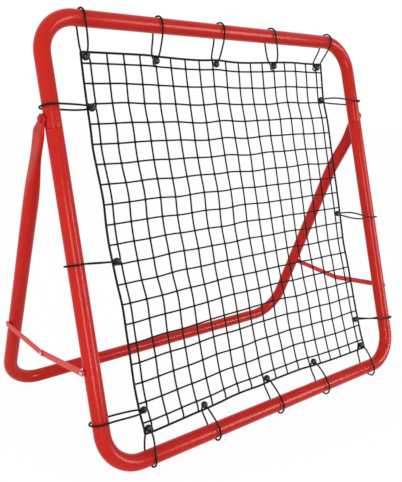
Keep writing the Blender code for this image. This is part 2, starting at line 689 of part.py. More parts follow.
def build_stays(frame_axes, stand_axes, looks):
    """Both stays; each link turns about its own rivet, and the middle rivet rides on the rear link."""
    front, rear, middle = stay_points()
    front_length = (middle - front).length
    rear_length = (rear - middle).length
    front_turn = atan2(middle.z - front.z, middle.y - front.y)
    rear_turn = atan2(rear.z - middle.z, rear.y - middle.y)
    hole = RIVET + 2 * GAP
    for side, word in ((-1, "left"), (1, "right")):
        front_axes = empty("front_link_axis_" + word,
                           Matrix.Translation(front) @ Matrix.Rotation(front_turn, 4, 'X'))
        rear_axes = empty("rear_link_axis_" + word,
                          Matrix.Translation(rear) @ Matrix.Rotation(rear_turn, 4, 'X'))
        outer_middle_x = middle_x + LINK_THICKNESS + GAP
        build_link("stay_front_link_" + word, front_length, front_link_x, middle_x, side, 1, front_axes,
                   looks["link"])
        build_link("stay_rear_link_" + word, rear_length, rear_link_x, outer_middle_x, side, -1, rear_axes,
                   looks["link"])
        head_x = outer_middle_x + LINK_THICKNESS + GAP
        shank = [(outer_middle_x, RIVET / 2), (head_x, RIVET / 2)]
        turned("stay_middle_rivet_" + word, shank + rivet_head(head_x), side, rear_axes, looks["zinc"],
               (0, -rear_length, 0))
        washer("stay_front_spacer_" + word, FRAME_WIDTH / 2 + GAP, FRONT_SPACER, SPACER, hole, side,
               frame_axes, looks["red"], (0, 0, STAY_FRONT_HEIGHT))
        inside_x = side_x + inner_face(tube_radius, TUBE_WALL, RIVET_BULB / 2)
        profile = rivet_profile(inside_x, front_link_x + LINK_THICKNESS + GAP)
        turned("stay_front_rivet_" + word, profile, side, frame_axes, looks["zinc"],
               (0, 0, STAY_FRONT_HEIGHT))
        leg_place = (0, LEG_SETBACK, STAY_REAR_HEIGHT - leg_length)
        washer("stay_rear_spacer_" + word, leg_outside + GAP, REAR_SPACER, SPACER, hole, side,
               stand_axes, looks["red"], leg_place)
        inside_x = leg_x + inner_face(stand_radius, STAND_WALL, RIVET_BULB / 2)
        profile = rivet_profile(inside_x, rear_link_x + LINK_THICKNESS + GAP)
        turned("stay_rear_rivet_" + word, profile, side, stand_axes, looks["zinc"], leg_place)


def main():
    clear_scene()
    looks = make_materials()
    frame_axes = empty("frame_axes", FRAME_AXES)
    stand_axes = empty("stand_pivot_axis", STAND_AXES)
    build_upper_frame(frame_axes, looks)
    build_lower_frame(frame_axes, looks)
    build_net(frame_axes, looks)
    build_ties(frame_axes, looks)
    build_rear_stand(stand_axes, looks)
    build_pivots(frame_axes, looks)
    build_stays(frame_axes, stand_axes, looks)


main()
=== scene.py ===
"""Looks of a folding rebound net: tube frame, rear stand, stays, net and its elastic ball ties.

Every piece is a surface worked out with numpy: a profile carried along a path, or turned about an axis.
Places on the front frame are (u, v, n): metres to the right, up the slope and behind the frame's plane.
"""
import json
import math

import bpy
import numpy as np
from mathutils import Matrix, Vector


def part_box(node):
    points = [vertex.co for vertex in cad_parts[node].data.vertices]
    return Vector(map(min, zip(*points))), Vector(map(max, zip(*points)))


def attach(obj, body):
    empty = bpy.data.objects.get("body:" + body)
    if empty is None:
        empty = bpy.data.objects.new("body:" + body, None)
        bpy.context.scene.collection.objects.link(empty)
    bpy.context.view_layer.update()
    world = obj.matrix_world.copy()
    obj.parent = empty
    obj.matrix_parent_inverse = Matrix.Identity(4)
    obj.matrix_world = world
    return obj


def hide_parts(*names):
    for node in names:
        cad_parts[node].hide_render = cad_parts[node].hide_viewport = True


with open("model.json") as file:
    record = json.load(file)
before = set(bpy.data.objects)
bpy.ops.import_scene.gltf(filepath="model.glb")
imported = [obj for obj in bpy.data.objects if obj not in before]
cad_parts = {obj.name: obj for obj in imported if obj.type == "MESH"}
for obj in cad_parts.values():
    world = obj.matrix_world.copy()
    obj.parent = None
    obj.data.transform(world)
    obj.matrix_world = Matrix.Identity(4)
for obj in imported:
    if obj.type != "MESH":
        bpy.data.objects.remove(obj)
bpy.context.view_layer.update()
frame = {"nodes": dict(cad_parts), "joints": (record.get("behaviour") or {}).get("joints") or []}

# ---------------------------------------------------------------- sizes, in metres

LEAN = math.radians(15.67)      # the front frame leans back
STAND_LEAN = math.radians(23.08)
GAP = 0.0003                    # clearance between pieces that bear on each other

SIDE = 0.482                    # an upright's middle line from the middle plane
TOP = 0.954                     # the top tube's middle line above the bottom tube's
SEAM = 0.717                    # where the two halves of the frame meet
TUBE = 0.018                    # radius
WALL = 0.0015
BEND = 0.084
SPIGOT = 0.0162                 # radius
SPIGOT_LENGTH = 0.060
SPIGOT_CHAMFER = 0.0005
SEAM_ROUNDING = 0.0009
# the rounding of a tube's end at the seam: (how far from the end, how much thinner), in roundings
ROUNDING_ALONG = np.array([0.0, 0.15, 0.5, 1.0, 1.6])
ROUNDING_CUT = np.array([1.0, 0.62, 0.20, 0.05, 0.0])

LEG = 0.4995                    # a leg's middle line from the middle plane
STAND_TUBE = 0.01725            # radius
STAND_BEND = 0.090
LEG_SETBACK = 0.0115            # the legs' middle line runs this far behind the pivots
PRESSED_INNER = 0.5018          # the legs' flat inner face, beside the washer
PRESSED_HALF = 0.003            # half a leg's thickness round the pivot
PRESSED_BODY_HALF = 0.005       # and at the end of its taper
PRESSED_LENGTH = 0.048          # full pressing, below the pivot
PRESSING_RUN = 0.165            # from the full pressing to the round tube
PRESSED_TOP = 0.0115            # from the pivot to the leg's end
PRESSED_EYE = 0.013             # half a leg's width at the pivot
PRESSED_END_HALF = 0.0012       # half the width of its very end
END_EDGE = 0.004                # over which the end's flat faces round off
END_LEAST = 0.35                # the share of its thickness that the very end keeps
EYE_FLAT = 0.009                # from the pivot down to where the leg gets thicker
TIP_TAPER = 0.034               # from the pivot down to the leg's full width
PRESSED_SPREAD = 0.0045         # how much wider than the tube it is there, each way
SPREAD_RUN = 0.070              # from there to the tube's own width
PRESSED_SQUARENESS = 5.0        # power of the pressed section's outline; 2 is round

PIVOT_UP = 0.739
PIVOT_BACK = 0.003              # behind the uprights' middle line
BOLT = 0.004                    # radius of the shank
BOLT_CHAMFER = 0.0006
BOLT_HEAD = 0.008               # radius
BOLT_HEAD_HEIGHT = 0.0045
BOLT_HEAD_EDGE = 0.0016         # straight edge under the dome
WASHER_HOLE, WASHER_RIM, WASHER_EDGE = 0.0043, 0.0125, 0.0003

FRONT_RIVET_UP = 0.219          # the front rivet, up the upright
STRIP_HALF = 0.0075             # half a strip's width
STRIP_THICK = 0.002
STRIP_CORNER = 0.0006           # rounding of its long edges
STRIP_END = 0.012               # flat round each rivet, before the strip slopes
FRONT_STRIP, MIDDLE_STRIP, REAR_STRIP = 0.5043, 0.5083, 0.51915  # inner faces at the three rivets
RIVET_HEAD = 0.00475            # radius
RIVET_HEAD_HEIGHT = 0.0030
RIVET_HEAD_EDGE = 0.0009
RIVET_DIMPLE = 0.0013           # radius of the hollow that the pulled pin leaves
DIMPLE_DEPTH = 0.0014
HEAD_ROUNDING = 0.35            # rounding where a head's underside ends, as a share of its edge
MIDDLE_RIVET = 0.0024           # radius of the shank
BLIND_RIVET = 0.0025
# the closed-up bulb of a blind rivet, as (from its end, radius)
BLIND_BULB = ((0, 0.0022), (0.0009, 0.0034), (0.0036, 0.0034), (0.0042, BLIND_RIVET))
SPACER_HOLE, SPACER_RIM, SPACER_EDGE = 0.0028, 0.006, 0.0005

SIDES = 48                      # round a tube
BEND_RINGS = 28                 # along a bend


def unit(v):
    return v / np.linalg.norm(v, axis=-1, keepdims=True)


# ---------------------------------------------------------------- places

joint_at = {joint["name"]: np.array(joint["pos_m"]) for joint in frame["joints"]}
RIGHT = np.array([1.0, 0.0, 0.0])
UP_SLOPE = np.array([0.0, math.sin(LEAN), math.cos(LEAN)])
BEHIND = np.array([0.0, math.cos(LEAN), -math.sin(LEAN)])
FRAME_FOOT = joint_at["front_link_turn_left"] * [0, 1, 1] - FRONT_RIVET_UP * UP_SLOPE
PIVOT = joint_at["stand_fold"]
UP_LEG = np.array([0.0, -math.sin(STAND_LEAN), math.cos(STAND_LEAN)])
BEHIND_LEG = np.array([0.0, math.cos(STAND_LEAN), math.sin(STAND_LEAN)])


def on_frame(points):
    """Places, in the object's own axes, of (u, v, n) points of the front frame."""
    return FRAME_FOOT + points @ np.array([RIGHT, UP_SLOPE, BEHIND])


def on_stand(points):
    """The same for points drawn from the pivot along the stand: right, up the legs, behind."""
    return PIVOT + points @ np.array([RIGHT, UP_LEG, BEHIND_LEG])


# ---------------------------------------------------------------- surfaces

class Surface:
    """Points, quads and a (round, along) place in metres for each quad corner."""

    def __init__(self, points, quads, marks):
        self.points, self.quads, self.marks = points, quads, marks

    def outward(self):
        """Turns the quads so that the volume they enclose is positive."""
        a, b, c, d = (self.points[self.quads[:, k]] for k in range(4))
        volume = np.einsum("ij,ij->i", np.cross(b - a, c - a), a).sum()
        volume += np.einsum("ij,ij->i", np.cross(c - a, d - a), a).sum()
        if volume < 0:
            self.quads, self.marks = self.quads[:, ::-1], self.marks[:, ::-1]
        return self


def length_along(points):
    """Length from the first row of points to each row."""
    steps = np.linalg.norm(np.diff(points, axis=0), axis=-1)
    return np.concatenate([[0.0], np.cumsum(steps)])


def joined_rings(rings, ends="open"):
    """A surface through rings (n, m, 3) of m points; ends is open, capped or joined.

    Quad (i, j) spans rings i, i+1 and points j, j+1. A cap is a fan of quads about the ring's middle. Joined
    ends have quads from the last ring to the first."""
    n, m = rings.shape[:2]
    centres = rings.mean(axis=1)
    along = length_along(centres)
    if ends == "joined":
        rows = np.arange(n)
        along = np.append(along, along[-1] + np.linalg.norm(centres[0] - centres[-1]))
    else:
        rows = np.arange(n - 1)
    i, j = np.meshgrid(rows, np.arange(m), indexing="ij")
    i, j = i.ravel(), j.ravel()
    after_i, after_j = (i + 1) % n, (j + 1) % m
    quads = np.stack([i * m + j, i * m + after_j, after_i * m + after_j, after_i * m + j], axis=1)
    middle = n // 2
    girth = np.linalg.norm(rings[middle] - np.roll(rings[middle], -1, axis=0), axis=1).sum()
    around = girth / m
    near, far = along[i], along[i + 1]
    left, right = j * around, (j + 1) * around
    corners = ((left, near), (right, near), (right, far), (left, far))
    marks = np.stack([np.stack(corner, 1) for corner in corners], axis=1)
    points = rings.reshape(-1, 3)
    if ends == "capped":
        for ring, step in ((0, -1), (n - 1, 1)):
            hub = len(points)
            points = np.vstack([points, centres[ring]])
            k = np.arange(0, m, 2)
            fan = np.stack([np.full(m // 2, hub), ring * m + k, ring * m + k + 1, ring * m + (k + 2) % m],
                           axis=1)
            if step < 0:
                fan = fan[:, ::-1]
            quads = np.vstack([quads, fan])
            marks = np.concatenate([marks, np.broadcast_to([0.0, along[ring]], (m // 2, 4, 2))])
    return Surface(points, quads, marks).outward()


def carried_rings(path, profile, steady):
    """Rings of a profile carried along a path.

    Ring i = path[i] + profile[i, :, 0] * side + profile[i, :, 1] * other, where side is the steady direction
    made square to the path, and other is square to both."""
    way = np.empty_like(path)
    steps = unit(np.diff(path, axis=0))
    way[0], way[-1] = steps[0], steps[-1]
    way[1:-1] = unit(steps[:-1] + steps[1:])
    side = unit(steady - way * (way @ steady)[:, None])
    other = np.cross(way, side)
    return path[:, None] + profile[..., :1] * side[:, None] + profile[..., 1:] * other[:, None]


def carried(path, profile, steady, ends="open"):
    """The surface through those rings."""
    return joined_rings(carried_rings(path, profile, steady), ends)


def round_profile(half, sides=SIDES, squareness=2.0):
    """Points of |x / a|^p + |y / b|^p = 1 for each ring; half holds a = b (n,) or pairs a, b (n, 2).

    A circle where a = b and p is 2."""
    angle = 2 * np.pi * (np.arange(sides) + 0.5) / sides
    c, s = np.cos(angle), np.sin(angle)
    half = np.asarray(half, float)
    if half.ndim == 1:
        half = np.stack([half, half], axis=1)
    power = np.broadcast_to(2 / np.asarray(squareness, float), len(half))[:, None]
    x = half[:, :1] * np.sign(c) * np.abs(c) ** power
    y = half[:, 1:] * np.sign(s) * np.abs(s) ** power
    return np.stack([x, y], axis=-1)


def turned_surface(profile, centre, axis, sides=SIDES, closed=False):
    """A profile of (along the axis, radius) turned about an axis through the centre; the ends are capped,
    or the profile closes on itself, as a ring's does."""
    profile = np.asarray(profile, float)
    axis = unit(np.asarray(axis, float))
    first = unit(np.cross(axis, [0.3, 0.9, 0.4]))
    second = np.cross(axis, first)
    angle = 2 * np.pi * (np.arange(sides) + 0.5) / sides
    spokes = np.cos(angle)[:, None] * first + np.sin(angle)[:, None] * second
    rings = centre + profile[:, None, :1] * axis + profile[:, None, 1:] * spokes
    return joined_rings(rings, "joined" if closed else "capped")


def arc(centre, radius, start, stop, count):
    """Points of a circular arc in a profile, angles in degrees."""
    angle = np.radians(np.linspace(start, stop, count))
    return np.stack([centre[0] + radius * np.cos(angle), centre[1] + radius * np.sin(angle)], axis=1)


def smooth(value):
    """Eases from 0 to 1: 3t^2 - 2t^3."""
    value = np.clip(value, 0.0, 1.0)
    return value * value * (3 - 2 * value)


def cubic(start, stop, leaving, arriving, t):
    """From start to stop with these slopes at the two ends, t from 0 to 1."""
    return ((2 * t ** 3 - 3 * t ** 2 + 1) * start + (t ** 3 - 2 * t ** 2 + t) * leaving
            + (3 * t ** 2 - 2 * t ** 3) * stop + (t ** 3 - t ** 2) * arriving)


def curve_through(places, count):
    """A smooth curve through places (n, d), each pair joined by a cubic whose slopes come from the
    neighbours; count points a span."""
    places = np.asarray(places, float)
    slopes = np.gradient(places, axis=0)
    t = np.linspace(0, 1, count, endpoint=False)[None, :, None]
    spans = cubic(places[:-1, None], places[1:, None], slopes[:-1, None], slopes[1:, None], t)
    return np.vstack([spans.reshape(-1, places.shape[1]), places[-1:]])


def evenly(path, spacing):
    """The same path with points an even distance apart."""
    along = length_along(path)
    count = max(2, int(round(along[-1] / spacing)) + 1)
    at = np.linspace(0, along[-1], count)
    return np.stack([np.interp(at, along, path[:, k]) for k in range(path.shape[1])], axis=1)


def piece(name, surfaces, finish, body, nodes, sharp=40.0):
    """Makes one object of several surfaces, and puts it in place of the CAD nodes named."""
    points = np.vstack([s.points for s in surfaces])
    starts = np.cumsum([0] + [len(s.points) for s in surfaces[:-1]])
    quads = np.vstack([s.quads + start for s, start in zip(surfaces, starts)]).astype(np.int32)
    marks = np.vstack([s.marks.reshape(-1, 2) for s in surfaces])
    mesh = bpy.data.meshes.new(name)
    mesh.vertices.add(len(points))
    mesh.vertices.foreach_set("co", points.astype(np.float32).ravel())
    mesh.loops.add(quads.size)
    mesh.loops.foreach_set("vertex_index", quads.ravel())
    mesh.polygons.add(len(quads))
    mesh.polygons.foreach_set("loop_start", np.arange(0, quads.size, 4, dtype=np.int32))
    mesh.update(calc_edges=True)
    mesh.validate()
    uv = mesh.uv_layers.new(name="along")
    uv.data.foreach_set("uv", marks.astype(np.float32).ravel())
    mesh.shade_smooth()
    mesh.set_sharp_from_angle(angle=math.radians(sharp))
    mesh.materials.append(finish)
    made = bpy.data.objects.new(name, mesh)
    bpy.context.scene.collection.objects.link(made)
    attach(made, body)
    if nodes:
        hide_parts(*nodes)
    return made


# ---------------------------------------------------------------- finishes

def new_finish(name, colour, roughness, metallic=0.0, specular=0.5):
    made = bpy.data.materials.new(name)
    made.use_nodes = True
    shader = made.node_tree.nodes["Principled BSDF"]
    shader.inputs["Base Color"].default_value = (*colour, 1)
    shader.inputs["Roughness"].default_value = roughness
    shader.inputs["Metallic"].default_value = metallic
    shader.inputs["Specular IOR Level"].default_value = specular
    return made, made.node_tree, shader


def add(tree, kind, **settings):
    node = tree.nodes.new(kind)
    for key, value in settings.items():
        setattr(node, key, value)
    return node


def place_noise(tree, scale, detail=3.0, stretch=(1, 1, 1)):
    """Noise over the object's own coordinates, scale in repeats a metre."""
    place = add(tree, "ShaderNodeTexCoord")
    mapping = add(tree, "ShaderNodeMapping")
    mapping.inputs["Scale"].default_value = stretch
    noise = add(tree, "ShaderNodeTexNoise")
    noise.inputs["Scale"].default_value = scale
    noise.inputs["Detail"].default_value = detail
    tree.links.new(place.outputs["Object"], mapping.inputs["Vector"])
    tree.links.new(mapping.outputs["Vector"], noise.inputs["Vector"])
    return noise.outputs["Fac"]


def blend_colours(tree, factor, low, high, start=0.3, stop=0.7):
    ramp = add(tree, "ShaderNodeValToRGB")
    ramp.color_ramp.elements[0].position = start
    ramp.color_ramp.elements[1].position = stop
    ramp.color_ramp.elements[0].color = (*low, 1)
    ramp.color_ramp.elements[1].color = (*high, 1)
    tree.links.new(factor, ramp.inputs["Fac"])
    return ramp.outputs["Color"]


def span(tree, factor, low, high):
    """Maps a 0 to 1 value to a range."""
    node = add(tree, "ShaderNodeMapRange")
    node.inputs["To Min"].default_value = low
    node.inputs["To Max"].default_value = high
    tree.links.new(factor, node.inputs["Value"])
    return node.outputs["Result"]


def bump(tree, shader, height, strength, distance):
    node = add(tree, "ShaderNodeBump")
    node.inputs["Strength"].default_value = strength
    node.inputs["Distance"].default_value = distance
    tree.links.new(height, node.inputs["Height"])
    tree.links.new(node.outputs["Normal"], shader.inputs["Normal"])


def powder_coat(name, deep, fresh, roughness):
    """Gloss paint baked on steel: slightly cloudy in colour and gloss, with a fine orange-peel skin."""
    made, tree, shader = new_finish(name, fresh, roughness, specular=0.12)
    shader.inputs["Specular Tint"].default_value = (1.0, 0.66, 0.63, 1)
    cloud = place_noise(tree, 9.0, 4.0)
    tree.links.new(blend_colours(tree, cloud, deep, fresh), shader.inputs["Base Color"])
    tree.links.new(span(tree, place_noise(tree, 60.0, 5.0), roughness - 0.04, roughness + 0.05),
                   shader.inputs["Roughness"])
    bump(tree, shader, place_noise(tree, 1200.0, 2.0), 0.04, 0.0001)
    return made


def plated(name):
    """Bright zinc plating: cool grey patches and a fine grain."""
    made, tree, shader = new_finish(name, (0.66, 0.67, 0.69), 0.28, metallic=1.0)
    patches = place_noise(tree, 400.0, 4.0)
    grey = blend_colours(tree, patches, (0.36, 0.37, 0.39), (0.60, 0.61, 0.62))
    tree.links.new(grey, shader.inputs["Base Color"])
    tree.links.new(span(tree, patches, 0.22, 0.38), shader.inputs["Roughness"])
    bump(tree, shader, place_noise(tree, 2500.0, 2.0), 0.15, 0.0001)
    return made


def twisted(name, low, high, roughness, sets, lay, strength, depth):
    """Cord whose fibres run slantwise: stripes of sin(2 pi (round / width + along / lay)) on the piece's UV.

    Each set of stripes is (1 or -1 for its slant, width). Two sets of opposite slant make a braid."""
    made, tree, shader = new_finish(name, high, roughness, specular=0.10)
    uv = add(tree, "ShaderNodeUVMap", uv_map="along")
    parts = add(tree, "ShaderNodeSeparateXYZ")
    tree.links.new(uv.outputs["UV"], parts.inputs["Vector"])
    waves = []
    for sense, width in sets:
        around = add(tree, "ShaderNodeMath", operation="MULTIPLY")
        around.inputs[1].default_value = 2 * math.pi / width
        tree.links.new(parts.outputs["X"], around.inputs[0])
        along = add(tree, "ShaderNodeMath", operation="MULTIPLY_ADD")
        along.inputs[1].default_value = sense * 2 * math.pi / lay
        tree.links.new(parts.outputs["Y"], along.inputs[0])
        tree.links.new(around.outputs[0], along.inputs[2])
        sine = add(tree, "ShaderNodeMath", operation="SINE")
        tree.links.new(along.outputs[0], sine.inputs[0])
        half = add(tree, "ShaderNodeMath", operation="MULTIPLY_ADD")
        half.inputs[1].default_value = 0.5
        half.inputs[2].default_value = 0.5
        tree.links.new(sine.outputs[0], half.inputs[0])
        waves.append(half.outputs[0])
    height = waves[0]
    if len(waves) > 1:
        top = add(tree, "ShaderNodeMath", operation="MAXIMUM")
        tree.links.new(waves[0], top.inputs[0])
        tree.links.new(waves[1], top.inputs[1])
        height = top.outputs[0]
    # The colour follows the same height as the bump: the grooves between the fibres are painted darker than
    # the crests, as painted shade.
    tree.links.new(blend_colours(tree, height, low, high, 0.1, 0.9), shader.inputs["Base Color"])
    fuzz = span(tree, place_noise(tree, 900.0), roughness - 0.08, roughness + 0.08)
    tree.links.new(fuzz, shader.inputs["Roughness"])
    bump(tree, shader, height, strength, depth)
    return made


def moulded(name):
    """Black moulded plastic: satin, a little cloudy, with a fine grain."""
    made, tree, shader = new_finish(name, (0.016, 0.016, 0.015), 0.36, specular=0.28)
    cloud = place_noise(tree, 160.0, 4.0)
    black = blend_colours(tree, cloud, (0.005, 0.005, 0.005), (0.014, 0.014, 0.013))
    tree.links.new(black, shader.inputs["Base Color"])
    tree.links.new(span(tree, cloud, 0.30, 0.46), shader.inputs["Roughness"])
    bump(tree, shader, place_noise(tree, 1800.0, 2.0), 0.12, 0.0002)
    return made


red_paint = powder_coat("red_powder_coat", (0.50, 0.017, 0.012), (0.55, 0.020, 0.014), 0.16)
# The stays' strips are the frame's red made lighter: a painted sheen that stands in for the white
# surroundings reflected in their flat faces.
strip_red_painted_sheen = powder_coat("stay_strip_red_with_painted_sheen", (0.62, 0.045, 0.040), (0.70, 0.060, 0.052), 0.30)
zinc = plated("zinc_plate")
# Each cord's first colour is the painted shade in its grooves, and its second is the colour of its crests.
net_twine = twisted("net_twine", (0.002, 0.002, 0.002), (0.006, 0.006, 0.006), 0.62,
                    ((1, 0.0022),), 0.007, 0.6, 0.0003)
rope_twist = twisted("net_rope_twist", (0.002, 0.002, 0.002), (0.006, 0.006, 0.006), 0.62,
                     ((1, 0.0042),), 0.011, 0.8, 0.0006)
elastic_braid = twisted("elastic_braid", (0.002, 0.002, 0.002), (0.007, 0.007, 0.007), 0.55,
                        ((1, 0.00157), (-1, 0.00157)), 0.0032, 0.5, 0.00025)
ball_plastic = moulded("ball_plastic")


# ---------------------------------------------------------------- front frame

def bent_line(corners, bend, rings=BEND_RINGS):
    """Straight runs between corners (n, 3), each corner rounded by a quarter circle of this radius."""
    corners = np.asarray(corners, float)
    runs = [corners[:1]]
    for before, corner, after in zip(corners, corners[1:], corners[2:]):
        coming, going = unit(corner - before), unit(after - corner)
        centre = corner + bend * (going - coming)
        turn = np.linspace(0, np.pi / 2, rings)[:, None]
        runs.append(centre + bend * (coming * np.sin(turn) - going * np.cos(turn)))
    runs.append(corners[-1:])
    return np.vstack(runs)


def tube_wall(path, radius, inside, steady):
    """A tube with its wall: outer rings one way, inner ones back, and the last joined to the first."""
    outer = carried_rings(path, round_profile(radius), steady)
    inner = carried_rings(path, round_profile(inside), steady)
    return joined_rings(np.concatenate([outer, inner[::-1]]), "joined")


def with_end_rings(path, extra):
    """Adds rings near both ends of a path, at these distances from each end."""
    first = path[0] + unit(path[1] - path[0]) * np.asarray(extra)[:, None]
    last = path[-1] + unit(path[-2] - path[-1]) * np.asarray(extra)[::-1, None]
    return np.vstack([path[:1], first, path[1:-1], last, path[-1:]])


def frame_half(name, end, level, lead, end_radii, end_insides, node):
    """Half of the frame: a U with one side at this level and its open ends at the other height.

    The rings near each end lie at the lead distances, and have the outer and inner radii given."""
    path = bent_line([(-SIDE, end, 0), (-SIDE, level, 0), (SIDE, level, 0), (SIDE, end, 0)], BEND)
    path = with_end_rings(path, lead)
    count = len(end_radii)
    radius, inside = np.full(len(path), TUBE), np.full(len(path), TUBE - WALL)
    radius[:count], radius[-count:] = end_radii, end_radii[::-1]
    inside[:count], inside[-count:] = end_insides, end_insides[::-1]
    wall = tube_wall(on_frame(path), radius, inside, BEHIND)
    piece(name, [wall], red_paint, "front_frame", [node])


def upper_tube():
    """The upper half of the frame, its open ends rounded a little at the seams."""
    lead = SEAM_ROUNDING * ROUNDING_ALONG[1:]
    end_radii = TUBE - SEAM_ROUNDING * ROUNDING_CUT
    frame_half("upper_tube", SEAM + GAP, TOP, lead, end_radii, np.full(5, TUBE - WALL), "upper_frame")


def lower_tube():
    """The lower half: its ends step in to the spigots that plug into the upper half."""
    mouth, foot = 0.0012, SPIGOT_LENGTH - 0.00001
    lead = np.concatenate([[mouth, foot], SPIGOT_LENGTH + SEAM_ROUNDING * ROUNDING_ALONG])
    spigot_radii = [SPIGOT - SPIGOT_CHAMFER, SPIGOT, SPIGOT]
    end_radii = np.concatenate([spigot_radii, TUBE - SEAM_ROUNDING * ROUNDING_CUT])
    end_insides = np.where(np.arange(8) < 4, SPIGOT - WALL, TUBE - WALL)
    frame_half("lower_tube", SEAM + SPIGOT_LENGTH, 0, lead, end_radii, end_insides, "lower_frame")


# ---------------------------------------------------------------- rear stand

def leg_length():
    """From the pivots to the middle of the bottom bar, along the legs."""
    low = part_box("rear_stand")[0]
    bar_height = low.z + STAND_TUBE
    down = PIVOT[2] - bar_height
    return (down + LEG_SETBACK * math.sin(STAND_LEAN)) / math.cos(STAND_LEAN)


def leg_sections(below):
    """For distances below the pivot: a section's half thickness, half width and squareness, the pressed
    section's middle from the middle plane, and how far it is on its way to the round tube (0 to 1)."""
    amount = smooth((below - PRESSED_LENGTH) / PRESSING_RUN)
    thicker = smooth((below - EYE_FLAT) / (TIP_TAPER - EYE_FLAT))
    pressed = PRESSED_HALF + (PRESSED_BODY_HALF - PRESSED_HALF) * thicker
    edge = np.clip((below + PRESSED_TOP) / END_EDGE, 0, 1)
    half_thick = pressed + (STAND_TUBE - pressed) * amount
    half_thick = half_thick * (END_LEAST + (1 - END_LEAST) * np.sqrt(1 - (1 - edge) ** 2))
    widest = STAND_TUBE + PRESSED_SPREAD * (1 - smooth((below - TIP_TAPER) / SPREAD_RUN))
    half_wide = PRESSED_EYE + (widest - PRESSED_EYE) * smooth(below / TIP_TAPER)
    round_top = np.sqrt(np.maximum(0, 1 - (below / PRESSED_TOP) ** 2)) * PRESSED_EYE
    half_wide = np.maximum(np.where(below < 0, round_top, half_wide), PRESSED_END_HALF)
    squareness = 2 + (PRESSED_SQUARENESS - 2) * (1 - amount)
    return half_thick, half_wide, squareness, PRESSED_INNER + pressed, amount


def stand_tube():
    """One tube bent to a wide U; its leg tops are pressed to a rounded box and end in a round tip.

    Each ring is a superellipse. Its half thickness, squareness and middle line go over from the pressed end
    to the round tube by 3t^2 - 2t^3."""
    length = leg_length()
    pressing_end = PRESSED_LENGTH + PRESSING_RUN
    tip = -PRESSED_TOP * np.cos(np.linspace(0, np.pi / 2, 9))
    below = np.concatenate([tip, np.linspace(0.004, PRESSED_LENGTH, 10),
                            np.linspace(PRESSED_LENGTH, pressing_end, 26)[1:]])
    half_thick, half_wide, squareness, middle, amount = leg_sections(below)
    leg = np.stack([-(middle + (LEG - middle) * amount), -below, LEG_SETBACK * amount], axis=1)
    corners = [(-LEG, -pressing_end), (-LEG, -length), (LEG, -length), (LEG, -pressing_end)]
    bar = bent_line([(x, up, LEG_SETBACK) for x, up in corners], STAND_BEND)[1:-1]
    path = np.vstack([leg, bar, leg[::-1] * [-1, 1, 1]])
    halves = np.stack([half_thick, half_wide], 1)
    halves = np.concatenate([halves, np.full((len(bar), 2), STAND_TUBE), halves[::-1]])
    power = np.concatenate([squareness, np.full(len(bar), 2.0), squareness[::-1]])
    profile = round_profile(halves, squareness=power)[..., ::-1]
    surface = carried(on_stand(path), profile, BEHIND_LEG, "capped")
    piece("stand_tube", [surface], red_paint, "rear_stand", ["rear_stand"])


# ---------------------------------------------------------------- pivots and stays

def domed(start, radius, height, edge, dimple=0.0):
    """Profile of a head from its flat underside out: a rounded edge, an elliptic dome and a round dimple
    of this radius, if any."""
    rim = HEAD_ROUNDING * edge
    angle = np.radians(np.linspace(12, 84, 12))
    dome = np.stack([start + edge + (height - edge) * np.sin(angle), radius * np.cos(angle)], axis=1)
    rows = [(start, radius - rim), (start + 0.3 * rim, radius - 0.3 * rim), (start + rim, radius),
            (start + edge, radius)]
    rows = np.vstack([rows, dome])
    top = start + height
    if not dimple:
        return np.vstack([rows, [(top, radius * 0.04)]])
    floor = top - DIMPLE_DEPTH
    hollow = [(top - 0.0003, dimple * 1.15), (top - 0.0006, dimple), (floor, dimple * 0.94),
              (floor, dimple * 0.3)]
    return np.vstack([rows[rows[:, 1] > dimple * 1.35], hollow])


def ring_profile(near, thickness, hole, outer, rounding):
    """Profile of a flat ring with rounded outer edges, closed on itself."""
    far = near + thickness
    rows = [(near, hole), (near, outer - rounding)]
    rows += list(arc((near + rounding, outer - rounding), rounding, 180, 90, 4)[1:])
    rows += list(arc((far - rounding, outer - rounding), rounding, 90, 0, 4))
    rows += [(far, hole)]
    return rows


def flat_ring(name, faces, hole, rim, edge, centre, side, body, node):
    """A flat red ring between two faces, given as distances from the middle plane."""
    profile = ring_profile(faces[0], faces[1] - faces[0], hole, rim, edge)
    ring = turned_surface(profile, centre, RIGHT * side, closed=True)
    piece(name, [ring], red_paint, body, [node])


def inner_end(node):
    """How far from the middle plane a bolt or rivet of the CAD ends inside its tube."""
    low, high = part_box(node)
    return min(abs(low.x), abs(high.x))


def pivots():
    centre = on_frame(np.array([0.0, PIVOT_UP, PIVOT_BACK]))
    head = PRESSED_INNER + 2 * PRESSED_HALF + GAP
    for side, word in ((-1, "left"), (1, "right")):
        end = inner_end("pivot_bolt_" + word)
        shank = [(end, BOLT - BOLT_CHAMFER), (end + BOLT_CHAMFER, BOLT), (head, BOLT)]
        profile = np.vstack([shank, domed(head, BOLT_HEAD, BOLT_HEAD_HEIGHT, BOLT_HEAD_EDGE)])
        surface = turned_surface(profile, centre, RIGHT * side)
        piece("pivot_bolt_head_" + word, [surface], red_paint, "front_frame",
              ["pivot_bolt_" + word])
        faces = (SIDE + TUBE + GAP, PRESSED_INNER - GAP)
        flat_ring("pivot_washer_ring_" + word, faces, WASHER_HOLE, WASHER_RIM, WASHER_EDGE, centre, side,
                  "front_frame", "pivot_washer_" + word)


